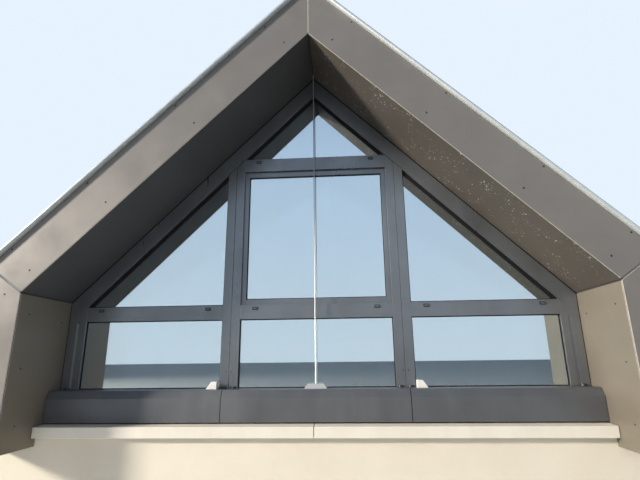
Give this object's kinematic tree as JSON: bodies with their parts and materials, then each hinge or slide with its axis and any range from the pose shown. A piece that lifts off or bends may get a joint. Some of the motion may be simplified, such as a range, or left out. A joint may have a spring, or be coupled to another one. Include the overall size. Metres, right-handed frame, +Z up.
{
  "type": "gabled dormer window",
  "caption": "Gabled dormer with a raking glazed screen and opening sash, set back in a deep panel-clad surround over a metal sill, a cast sill and a rendered wall.",
  "frame": {"origin": "On the underside of the front wall, below the middle of the outer face of the glazed screen", "axes": "+X to the right seen from outside, +Y into the house, +Z up"},
  "size_m": [3.7308, 2.7891, 3.3089],
  "materials": {
    "render": "rough cream render",
    "timber": "sawn softwood",
    "slate": "riven slate",
    "zinc": "pale grey sheet metal",
    "cladding": "satin grey panel",
    "cast_stone": "smooth pale cast stone",
    "sill_metal": "satin anthracite",
    "frame_metal": "satin anthracite",
    "glazing": "clear reflective glass",
    "sealant": "black sealant",
    "plaster": "matt white board",
    "steel": "stainless steel",
    "white_plastic": "white",
    "black_plastic": "black"
  },
  "bodies": {
    "root": {"front_wall": "render", "cheek_wall_left": "timber", "cheek_wall_right": "timber", "roof_left": "timber", "roof_right": "timber", "slating_left": "slate", "slating_right": "slate", "ridge_cap": "zinc", "metal_edge_left": "zinc", "metal_edge_right": "zinc", "fascia_left": "cladding", "fascia_right": "cladding", "cheek_front_left": "cladding", "cheek_front_right": "cladding", "soffit_left": "cladding", "soffit_right": "cladding", "cheek_lining_left": "cladding", "cheek_lining_right": "cladding", "cheek_cladding_left": "cladding", "cheek_cladding_right": "cladding", "base_panels": "cladding", "cast_sill_left": "cast_stone", "cast_sill_right": "cast_stone", "sill_curb": "timber", "metal_sill_left": "sill_metal", "metal_sill_centre": "sill_metal", "metal_sill_right": "sill_metal", "bottom_rail": "frame_metal", "jamb_left": "frame_metal", "jamb_right": "frame_metal", "rake_left": "frame_metal", "rake_right": "frame_metal", "mullion_left": "frame_metal", "mullion_right": "frame_metal", "low_transom_left": "frame_metal", "low_transom_centre": "frame_metal", "low_transom_right": "frame_metal", "top_transom": "frame_metal", "sash": "frame_metal", "low_glass_left": "glazing", "low_glass_centre": "glazing", "low_glass_right": "glazing", "high_glass_left": "glazing", "high_glass_right": "glazing", "sash_glass": "glazing", "top_glass": "glazing", "perimeter_seal": "sealant", "wall_board_left": "plaster", "wall_board_right": "plaster", "ceiling_board_left": "plaster", "ceiling_board_right": "plaster", "inner_sill": "plaster", "centre_wire": "steel", "mullion_blocks": "white_plastic", "drain_caps": "black_plastic"}
  },
  "joints": []
}
